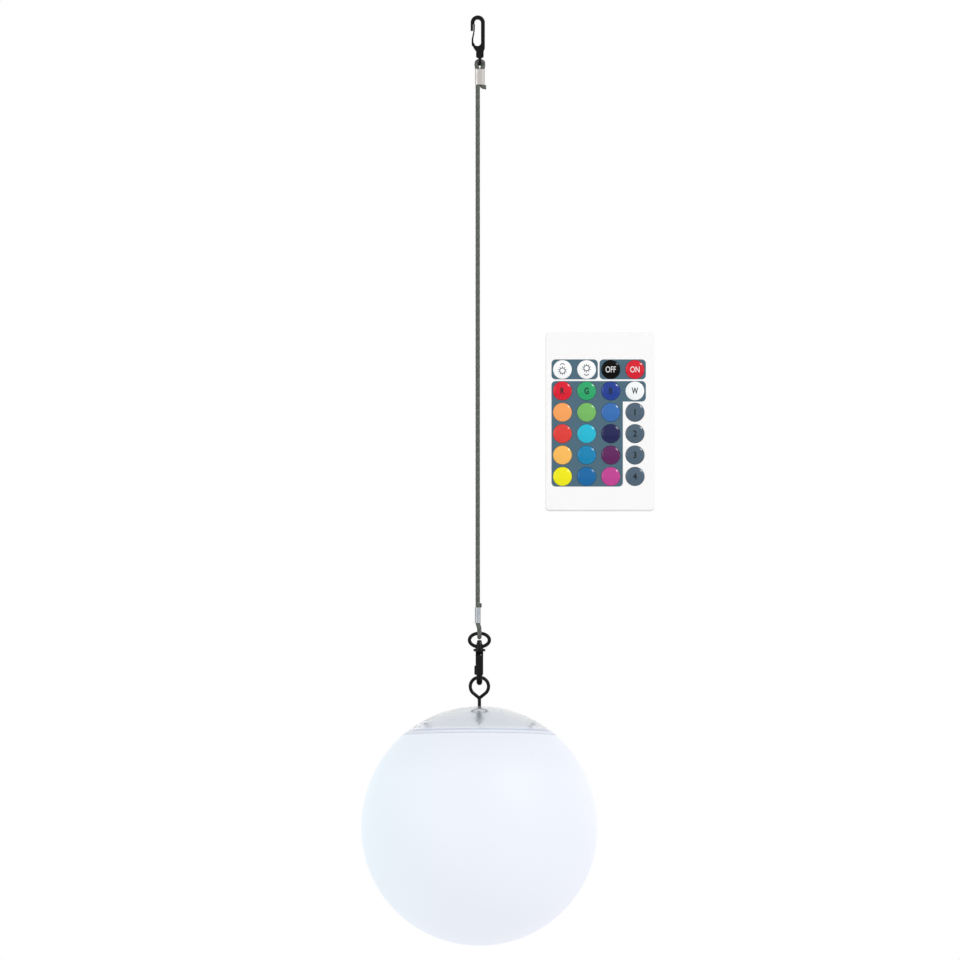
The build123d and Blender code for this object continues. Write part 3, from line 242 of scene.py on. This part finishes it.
# The sleeves crimped over the loops: aluminium tube, pressed in a flat die. The upper one is painted
# warmer and lighter, and the lower one cooler and darker: painted light and painted shade on one metal.
between_ferrules = -0.15
crimp_finish, tree, surface, place = start_finish("pressed_aluminium", "#c2bebb", 0.36, 1.0)
# Painted shade: below this height the sleeve gets a cooler, darker metal colour than above it.
which = put(tree, "ShaderNodeSeparateXYZ", {"Vector": place})
upper = put(tree, "ShaderNodeMath", {0: which.outputs["Z"], 1: between_ferrules}, operation="GREATER_THAN")
metal = put(tree, "ShaderNodeMix", {"Factor": upper.outputs["Value"], "A": linear("#a3a9ae"),
                                    "B": linear("#c2bebb")}, data_type="RGBA")
tree.links.new(metal.outputs["Result"], surface.inputs["Base Color"])
drawn = put(tree, "ShaderNodeMapping", {"Vector": place, "Scale": (1.0, 1.0, 0.12)})
grain(tree, surface, drawn.outputs["Vector"], 0.35, 0.03, (0.26, 0.46))
dress(["upper_ferrule", "lower_ferrule"], crimp_finish)


# ------------------------------------------------------------------ top hook and its tongue
# Injection-moulded black acetal, one body with a thin tongue behind the nose; the mould's spark
# finish leaves it satin, a little glossier on the rounded outside.
acetal, tree, surface, place = start_finish("moulded_black_acetal", "#090a0a", 0.32, Specular_IOR_Level=0.14)
grain(tree, surface, place, 0.22, 0.012, (0.3, 0.44))
dress(["top_hook", "hook_gate"], acetal)


# ------------------------------------------------------------------ swivel ring, snap hook, eye screw
# Zinc casting and bent wire under thin black lacquer: smooth, with soft highlights, and slightly
# uneven where the lacquer gathers.
lacquer, tree, surface, place = start_finish("black_lacquered_metal", "#070808", 0.24,
                                             Specular_IOR_Level=0.16)
grain(tree, surface, place, 0.8, 0.015, (0.18, 0.3))
dress(["swivel_ring", "snap_body", "snap_gate"], lacquer)

# The eye screw has the same lacquer down to the dome's top; below it the thread is pale zinc plate.
thread_top = -0.3306
plated, tree, surface, place = start_finish("lacquered_wire_zinc_thread", "#070808", 0.24,
                                            Specular_IOR_Level=0.16)
height = put(tree, "ShaderNodeSeparateXYZ", {"Vector": place})
thread = put(tree, "ShaderNodeMath", {0: height.outputs["Z"], 1: thread_top},
             operation="LESS_THAN")
wire_colour = put(tree, "ShaderNodeMix", {"Factor": thread.outputs["Value"], "A": linear("#070808"),
                                          "B": linear("#e6e8ea")}, data_type="RGBA")
tree.links.new(wire_colour.outputs["Result"], surface.inputs["Base Color"])
grain(tree, surface, place, 0.8, 0.02, (0.2, 0.36))
dress(["eye_screw"], plated)

# Bare steel: drawn, nickel plated on pins, screws, springs and contacts.
nickel, tree, surface, place = start_finish("nickel_plated_steel", "#b9b8b4", 0.28, 1.0)
grain(tree, surface, place, 0.25, 0.006, (0.22, 0.36))
dress(["gate_pin", "gate_spring", "dome_screws", "lid_screws", "cell_contacts", "remote_contacts"],
      nickel)

# The nut under the boss is pale zinc plate, only partly metallic to the eye.
zinc, tree, surface, place = start_finish("zinc_plated_nut", "#dfe2e4", 0.3, 0.35)
grain(tree, surface, place, 0.25, 0.006, (0.24, 0.36))
dress(["eye_nut"], zinc)


# ------------------------------------------------------------------ clear dome
# Injection-moulded polycarbonate, clear with a faint haze, over the panel; the eye screw passes
# through its thick boss. A painted glow stands for the lamp's light from below: strongest in the lowest
# 1.5 mm of its rim, and a faint trace of it over the rest of the dome.
rim_low = -0.3434
rim_high = -0.3418
rim_painted_glow = 0.16
haze_painted_glow = 0.03
hazy, tree, surface, place = start_finish("hazy_clear_polycarbonate", "#e9ebee", 0.09, IOR=1.45,
                                          Specular_IOR_Level=0.5)
surface.inputs["Transmission Weight"].default_value = 0.92
height = put(tree, "ShaderNodeSeparateXYZ", {"Vector": place})
# Painted glow: the emission strength falls from the rim's foot upwards, then stays faint.
painted_leak_glow = put(tree, "ShaderNodeMapRange", {
    "Value": height.outputs["Z"], "From Min": rim_low, "From Max": rim_high,
    "To Min": rim_painted_glow, "To Max": haze_painted_glow})
surface.inputs["Emission Color"].default_value = linear("#eef3ff")
tree.links.new(painted_leak_glow.outputs["Result"], surface.inputs["Emission Strength"])
grain(tree, surface, place, 9.0, 0.01)
dress(["clear_dome"], hazy)

# The small lens over the LEDs: clear acrylic, polished in the mould.
lens_clear, tree, surface, place = start_finish("clear_acrylic_lens", "#f6f8fa", 0.05, IOR=1.49)
surface.inputs["Transmission Weight"].default_value = 1.0
grain(tree, surface, place, 4.0, 0.006)
dress(["led_lens"], lens_clear)


# ------------------------------------------------------------------ solar module under the dome
# White ABS tray and cup, with the blue-black solar panel on top and the lamp's parts below it. A
# faint glow stands for the lamp's light that comes through the thin white wall.
housing_glow = 0.1
abs_white, tree, surface, place = start_finish("moulded_white_abs", "#dadfe7", 0.42, Specular_IOR_Level=0.2)
surface.inputs["Emission Color"].default_value = linear("#eef3ff")
surface.inputs["Emission Strength"].default_value = housing_glow
grain(tree, surface, place, 0.3, 0.01, (0.36, 0.48))
dress(["module_housing", "module_lid"], abs_white)

# The panel: polycrystalline cells in dark blue under clear resin, with silver conductors. Fine
# fingers run along Y, one every 4.4 mm, and broad bars cross them every 13 mm.
finger_half_pitch = 0.0022
finger_half_width = 0.00012
bar_half_pitch = 0.0065
bar_half_width = 0.0004
cells, tree, surface, place = start_finish("solar_cells_in_resin", "#10182e", 0.12)
surface.inputs["Coat Weight"].default_value = 0.8
crystal = put(tree, "ShaderNodeTexVoronoi", {"Vector": place, "Scale": 240.0}, distance="EUCLIDEAN")
tones = put(tree, "ShaderNodeValToRGB", {"Fac": crystal.outputs["Color"]})
tones.color_ramp.elements[0].color = linear("#0b1124")
tones.color_ramp.elements[1].color = linear("#1f2f57")
split = put(tree, "ShaderNodeSeparateXYZ", {"Vector": place})
comb = put(tree, "ShaderNodeMath", {0: split.outputs["X"], 1: finger_half_pitch},
           operation="PINGPONG")
fine = put(tree, "ShaderNodeMath", {0: comb.outputs["Value"], 1: finger_half_width},
           operation="LESS_THAN")
bus = put(tree, "ShaderNodeMath", {0: split.outputs["Y"], 1: bar_half_pitch},
          operation="PINGPONG")
broad = put(tree, "ShaderNodeMath", {0: bus.outputs["Value"], 1: bar_half_width},
            operation="LESS_THAN")
wires = put(tree, "ShaderNodeMath", {0: fine.outputs["Value"], 1: broad.outputs["Value"]},
            operation="MAXIMUM")
panel_mix = put(tree, "ShaderNodeMix", {"Factor": wires.outputs["Value"], "A": tones.outputs["Color"],
                                        "B": linear("#9aa1a6")}, data_type="RGBA")
tree.links.new(panel_mix.outputs["Result"], surface.inputs["Base Color"])
dress(["solar_panel"], cells)

# The parts inside: silicone seal, shrink-sleeved cell, green boards, LED package, tinted receiver
# and the grey rubber cap of the button.
silicone, tree, surface, place = start_finish("moulded_white_silicone", "#dfe2e4", 0.6,
                                              Specular_IOR_Level=0.3)
grain(tree, surface, place, 0.4, 0.02)
dress(["seal_ring"], silicone)
wrap, tree, surface, place = start_finish("printed_cell_sleeve", "#2f7d54", 0.3)
grain(tree, surface, place, 1.5, 0.01)
dress(["battery_cell"], wrap)
board, tree, surface, place = start_finish("solder_masked_board", "#1c6a41", 0.38)
grain(tree, surface, place, 1.2, 0.02, (0.3, 0.5))
dress(["light_board", "remote_board"], board)
package, tree, surface, place = start_finish("moulded_led_package", "#f1efe6", 0.35)
grain(tree, surface, place, 0.5, 0.01)
dress(["colour_leds"], package)
tinted, tree, surface, place = start_finish("infrared_tinted_resin", "#120f14", 0.15)
grain(tree, surface, place, 1.0, 0.004)
dress(["infrared_receiver"], tinted)
button_grey, tree, surface, place = start_finish("silicone_rubber_grey", "#8a8d90", 0.6)
grain(tree, surface, place, 0.4, 0.012)
dress(["switch_button"], button_grey)


# ------------------------------------------------------------------ frosted globe
# Blow-moulded polyethylene, satin outside and lit from within: it glows an even bluish white,
# cooler at the left than at the right, a touch fainter at the middle, and fainter next to the neck.
neck_low = -0.366
neck_high = -0.345
globe_glow = 0.67
neck_glow = 0.62
frosted, tree, surface, place = start_finish("frosted_polyethylene_lit", "#8b9098", 0.5,
                                             Specular_IOR_Level=0.25)
spread = put(tree, "ShaderNodeSeparateXYZ", {"Vector": place})
across = put(tree, "ShaderNodeMapRange", {"Value": spread.outputs["X"], "From Min": -0.05, "From Max": 0.05})
glow = put(tree, "ShaderNodeValToRGB", {"Fac": across.outputs["Result"]})
glow.color_ramp.elements[0].color = linear("#f0f9ff")
glow.color_ramp.elements[1].color = linear("#f6f7ff")
middle = glow.color_ramp.elements.new(0.5)
middle.color = linear("#f1f3fb")
shadow = put(tree, "ShaderNodeMapRange", {
    "Value": spread.outputs["Z"], "From Min": neck_low, "From Max": neck_high,
    "To Min": globe_glow, "To Max": neck_glow})
tree.links.new(glow.outputs["Color"], surface.inputs["Emission Color"])
tree.links.new(shadow.outputs["Result"], surface.inputs["Emission Strength"])
grain(tree, surface, place, 0.5, 0.01, (0.45, 0.58))
dress(["globe_shell"], frosted)


# ------------------------------------------------------------------ remote control
# Flat case of white ABS in two shells; the slate fields are silk-screened on the face.
case_white, tree, surface, place = start_finish("moulded_white_case_abs", "#f6f5f5", 0.34,
                                                Specular_IOR_Level=0.3)
grain(tree, surface, place, 0.3, 0.006, (0.28, 0.4))
dress(["remote_front", "remote_back", "cell_carrier"], case_white)
slate, tree, surface, place = start_finish("silk_screened_slate_ink", "#4b6878", 0.45, Specular_IOR_Level=0.2)
grain(tree, surface, place, 0.25, 0.006, (0.4, 0.52))
dress(["remote_panels"], slate)
mat_grey, tree, surface, place = start_finish("silicone_keypad", "#a6a8a8", 0.65)
grain(tree, surface, place, 0.5, 0.01)
dress(["keypad_mat"], mat_grey)
led_resin, tree, surface, place = start_finish("clear_led_resin", "#dfe6f2", 0.08, IOR=1.53)
surface.inputs["Transmission Weight"].default_value = 0.9
grain(tree, surface, place, 2.0, 0.004)
dress(["infrared_led"], led_resin)
coin, tree, surface, place = start_finish("stamped_stainless_can", "#c9c9c6", 0.25, 1.0)
grain(tree, surface, place, 0.4, 0.006, (0.2, 0.34))
dress(["coin_cell"], coin)


# ------------------------------------------------------------------ keys
# Domed ABS caps, bevelled and then rounded at the shoulder, moulded in their own colours. One is
# turned from its profile, and the others are copies of it on their own places. The black cap
# shines less, so that it stays black.
key_colours = [
    ["#f8f9fa", "#f8f9fa", "#020203", "#d4152b"],
    ["#d8102b", "#27a367", "#1a3a8f", "#f2f5f6"],
    ["#f4a05a", "#73b65f", "#326bb0", "#4c6070"],
    ["#dc3a34", "#1eb5d0", "#16194f", "#4c6070"],
    ["#f5b958", "#0480af", "#5c1a57", "#4c6070"],
    ["#ece606", "#0364a0", "#bd3f8f", "#4c6070"]]
key_radius = 4.535
key_crown = 0.8
dome_ball = 20.0
shoulder = 0.235
skirt = 0.9
bevel_start = 3.72
bevel_slope = 0.42
crease = 0.02
turn_steps = 48
black_key = "#020203"


def key_front(reach):
    """How far the cap stands in front of the case's face at a distance from its middle, in mm."""
    domed = min(reach, bevel_start)
    return (key_crown - dome_ball + math.sqrt(dome_ball ** 2 - domed ** 2)
            - bevel_slope * max(0.0, reach - bevel_start))


face_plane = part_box("remote_front")[0][1] / MM
profile = [(r, key_front(r)) for r in (
    0.0, 0.9, 1.8, 2.6, 3.3, bevel_start - crease, bevel_start + crease, key_radius - shoulder - crease,
    key_radius - shoulder)]
for part in range(1, 6):
    bend = part * math.pi / 10
    profile.append((key_radius - shoulder + shoulder * math.sin(bend),
                    key_front(key_radius - shoulder) * math.cos(bend)))
profile.append((key_radius, -skirt))
cap_data = bpy.data.meshes.new("key_cap")
cap_data.from_pydata([(r * MM, (face_plane - d) * MM, 0.0) for r, d in profile],
                     [(i, i + 1) for i in range(len(profile) - 1)], [])
master = bpy.data.objects.new("key_cap", cap_data)
bpy.context.scene.collection.objects.link(master)
bpy.ops.object.select_all(action="DESELECT")
master.select_set(True)
bpy.context.view_layer.objects.active = master
bpy.ops.object.mode_set(mode="EDIT")
bpy.ops.mesh.select_all(action="SELECT")
bpy.ops.mesh.spin(steps=turn_steps, angle=2 * math.pi, center=(0.0, 0.0, 0.0), axis=(0.0, 1.0, 0.0))
bpy.ops.mesh.select_all(action="SELECT")
bpy.ops.mesh.remove_doubles(threshold=0.000001)
bpy.ops.mesh.normals_make_consistent(inside=False)
bpy.ops.mesh.faces_shade_smooth()
bpy.ops.object.mode_set(mode="OBJECT")

key_middle = {}
for row, colours in enumerate(key_colours):
    for column, colour in enumerate(colours):
        name = f"key_{row + 1}{'abcd'[column]}"
        low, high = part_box(name)
        key_middle[name] = ((low[0] + high[0]) / 2, (low[2] + high[2]) / 2)
        finish, tree, surface, place = start_finish(
            "moulded_abs_" + name, colour, 0.2, Specular_IOR_Level=0.3 if colour != black_key else 0.12)
        grain(tree, surface, place, 0.5, 0.003, (0.15, 0.22))
        dress([name], finish)
        cap = bpy.data.objects.new("cap" + name[3:], cap_data.copy())
        cap.data.transform(Matrix.Translation((key_middle[name][0], 0.0, key_middle[name][1])))
        cap.data.materials.append(finish)
        bpy.context.scene.collection.objects.link(cap)
        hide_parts(name)
        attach(cap, name)
bpy.data.objects.remove(master)


# ------------------------------------------------------------------ signs on the keys
# Pad-printed in one ink film that follows each dome: a lamp sign with a rising or falling arc,
# ON and OFF, the letters of the plain colours, and plain numbers on the four programme keys.
dark_ink, tree, surface, place = start_finish("pad_printed_dark_ink", "#1b242b", 0.5, Specular_IOR_Level=0.2)
grain(tree, surface, place, 0.2, 0.002)
white_ink, tree, surface, place = start_finish("pad_printed_white_ink", "#f2f3f3", 0.45,
                                               Specular_IOR_Level=0.2)
grain(tree, surface, place, 0.2, 0.002)
ink_film = 0.03
ink_under = 0.02


def print_on(mark, key, ink):
    """Wraps a flat mark, drawn in X and Y about its middle in mm, on a key's dome, and fixes it there."""
    middle_x, middle_z = key_middle[key]
    front = max(v.co.z for v in mark.data.vertices)
    for v in mark.data.vertices:
        u, w = v.co.x, v.co.y
        lift = ink_film if v.co.z > front - 0.001 else -ink_under
        y = face_plane - key_front(math.hypot(u, w)) - lift
        v.co = (middle_x + u * MM, y * MM, middle_z + w * MM)
    mark.location = (0.0, 0.0, 0.0)
    mark.data.materials.clear()
    mark.data.materials.append(ink)
    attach(mark, key)


# Key, mark, letter height in mm, and how far the letters are narrowed.
words = [("key_1c", "OFF", 4.15, 0.7, white_ink, "key_white"),
         ("key_1d", "ON", 4.1, 0.74, white_ink, "key_white"),
         ("key_2a", "R", 4.2, 0.78, dark_ink, "key_black"),
         ("key_2b", "G", 4.2, 0.76, dark_ink, "key_black"),
         ("key_2c", "B", 4.2, 0.76, dark_ink, "key_black"),
         ("key_2d", "W", 4.2, 0.66, dark_ink, "key_black"),
         ("key_3d", "1", 4.2, 0.9, dark_ink, "key_black"),
         ("key_4d", "2", 4.2, 0.9, dark_ink, "key_black"),
         ("key_5d", "3", 4.2, 0.9, dark_ink, "key_black"),
         ("key_6d", "4", 4.2, 0.9, dark_ink, "key_black")]
dark_boldness = 0.11
text_half_depth = 0.05
text_cuts = 3
for key, word, height, narrow, ink, ink_slot in words:
    bpy.ops.object.select_all(action="DESELECT")
    bpy.ops.object.text_add(location=(0.0, 0.0, 0.0))
    sign = bpy.context.active_object
    sign.name = "sign" + key[3:]
    sign.data.body = word
    sign.data.size = height
    sign.data.align_x = "CENTER"
    sign.data.align_y = "CENTER"
    sign.data.offset = 0.0 if ink is white_ink else dark_boldness
    sign.data.extrude = text_half_depth
    bpy.ops.object.convert(target="MESH")
    corners = [v.co.copy() for v in sign.data.vertices]
    mid_x = (min(c.x for c in corners) + max(c.x for c in corners)) / 2
    mid_y = (min(c.y for c in corners) + max(c.y for c in corners)) / 2
    for v in sign.data.vertices:
        v.co.x = (v.co.x - mid_x) * narrow
        v.co.y -= mid_y
    bpy.ops.object.mode_set(mode="EDIT")
    bpy.ops.mesh.select_all(action="SELECT")
    bpy.ops.mesh.subdivide(number_cuts=text_cuts)
    bpy.ops.object.mode_set(mode="OBJECT")
    print_on(sign, key, ink)

# The lamp signs: a ring, ten rays and an arc, above it for brighter and below it for dimmer.
stroke = 0.19
lamp_offset = 0.62
lamp_ring = 1.3
ray_count = 10
ray_reach = 1.85
ray_length = 0.6
ray_share = 0.85
arc_radius = 1.05
arc_offset = 2.4
arc_cut = 2.75
ring_steps = 40
stroke_steps = 6
ink_sink = 0.005
for key, way in (("key_1a", 1), ("key_1b", -1)):
    middle = -lamp_offset * way
    strokes = []
    bpy.ops.object.select_all(action="DESELECT")
    bpy.ops.mesh.primitive_torus_add(major_radius=lamp_ring, minor_radius=stroke, major_segments=ring_steps,
                                     minor_segments=stroke_steps, location=(0.0, middle, 0.0))
    strokes.append(bpy.context.active_object)
    for ray in range(ray_count):
        angle = (2 * ray + 1) * math.pi / ray_count
        bpy.ops.mesh.primitive_cylinder_add(
            vertices=8, radius=stroke * ray_share, depth=ray_length, rotation=(0.0, math.pi / 2, angle),
            location=(ray_reach * math.cos(angle), middle + ray_reach * math.sin(angle), 0.0))
        strokes.append(bpy.context.active_object)
    bpy.ops.mesh.primitive_torus_add(major_radius=arc_radius, minor_radius=stroke, major_segments=ring_steps,
                                     minor_segments=stroke_steps,
                                     location=(0.0, middle + way * arc_offset, 0.0))
    arc = bpy.context.active_object
    bpy.ops.object.mode_set(mode="EDIT")
    bpy.ops.mesh.select_all(action="SELECT")
    bpy.ops.mesh.bisect(plane_co=(0.0, middle + way * arc_cut, 0.0), plane_no=(0.0, -way, 0.0), use_fill=True,
                        clear_outer=True)
    bpy.ops.object.mode_set(mode="OBJECT")
    strokes.append(arc)
    bpy.ops.object.select_all(action="DESELECT")
    for stroke_part in strokes:
        stroke_part.select_set(True)
    bpy.context.view_layer.objects.active = strokes[0]
    bpy.ops.object.join()
    lamp_sign = bpy.context.active_object
    lamp_sign.name = "sign" + key[3:]
    bpy.ops.object.transform_apply(location=True, rotation=True, scale=True)
    middle_x, middle_z = key_middle[key]
    for v in lamp_sign.data.vertices:
        u, w, rise = v.co.x, v.co.y, v.co.z
        y = face_plane - key_front(math.hypot(u, w)) - ink_sink - ink_film * rise / stroke
        v.co = (middle_x + u * MM, y * MM, middle_z + w * MM)
    bpy.ops.object.mode_set(mode="EDIT")
    bpy.ops.mesh.select_all(action="SELECT")
    bpy.ops.mesh.normals_make_consistent(inside=False)
    bpy.ops.object.mode_set(mode="OBJECT")
    lamp_sign.data.materials.append(dark_ink)
    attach(lamp_sign, key)


# ------------------------------------------------------------------ studio
# A pale floor well below the hanging globe, an even white room, and three lamps: a soft key lamp
# high at the right, a broad fill lamp at the left, and a small edge lamp at the right for glints.
# The floor's own glow shows to the camera only. The room looks brighter than the light it gives:
# to the camera, in reflections and through clear pieces.
floor_size = 40.0
floor_height = -1.0
floor_glow = 0.28
room_light = 0.62
room_seen = 1.0
bpy.ops.mesh.primitive_plane_add(size=floor_size, location=(0.0, 0.0, floor_height))
floor = bpy.context.active_object
floor.name = "studio_floor"
paint, tree, surface, place = start_finish("matt_white_floor_paint", "#f2f2f2", 0.9)
grain(tree, surface, place, 3.0, 0.05)
seen = put(tree, "ShaderNodeLightPath")
pale = put(tree, "ShaderNodeMath", {0: seen.outputs["Is Camera Ray"], 1: floor_glow}, operation="MULTIPLY")
surface.inputs["Emission Color"].default_value = (1.0, 1.0, 1.0, 1.0)
tree.links.new(pale.outputs["Value"], surface.inputs["Emission Strength"])
floor.data.materials.append(paint)

world = bpy.data.worlds.new("studio_room")
bpy.context.scene.world = world
world.use_nodes = True
tree = world.node_tree
background = tree.nodes["Background"]
background.inputs["Color"].default_value = (1.0, 1.0, 1.0, 1.0)
ray = put(tree, "ShaderNodeLightPath")
seen = put(tree, "ShaderNodeMath", {0: ray.outputs["Is Camera Ray"], 1: ray.outputs["Is Glossy Ray"]},
           operation="MAXIMUM")
seen = put(tree, "ShaderNodeMath", {0: seen.outputs["Value"], 1: ray.outputs["Is Transmission Ray"]},
           operation="MAXIMUM")
level = put(tree, "ShaderNodeMapRange", {"Value": seen.outputs["Value"], "To Min": room_light,
                                         "To Max": room_seen})
tree.links.new(level.outputs["Result"], background.inputs["Strength"])

# Name, place in metres, width in metres and power in watts.
lamps = [("key_lamp", (1.8, -2.2, 1.6), 0.55, 34.0),
         ("fill_lamp", (-2.2, -2.0, 0.4), 2.0, 17.0),
         ("edge_lamp", (2.6, -2.2, -0.2), 0.35, 6.0)]
for name, spot, size, power in lamps:
    lamp_data = bpy.data.lights.new(name, "AREA")
    lamp_data.shape = "DISK"
    lamp_data.size = size
    lamp_data.energy = power
    lamp = bpy.data.objects.new(name, lamp_data)
    lamp.location = spot
    lamp.rotation_euler = (look_at - Vector(spot)).to_track_quat("-Z", "Y").to_euler()
    bpy.context.scene.collection.objects.link(lamp)
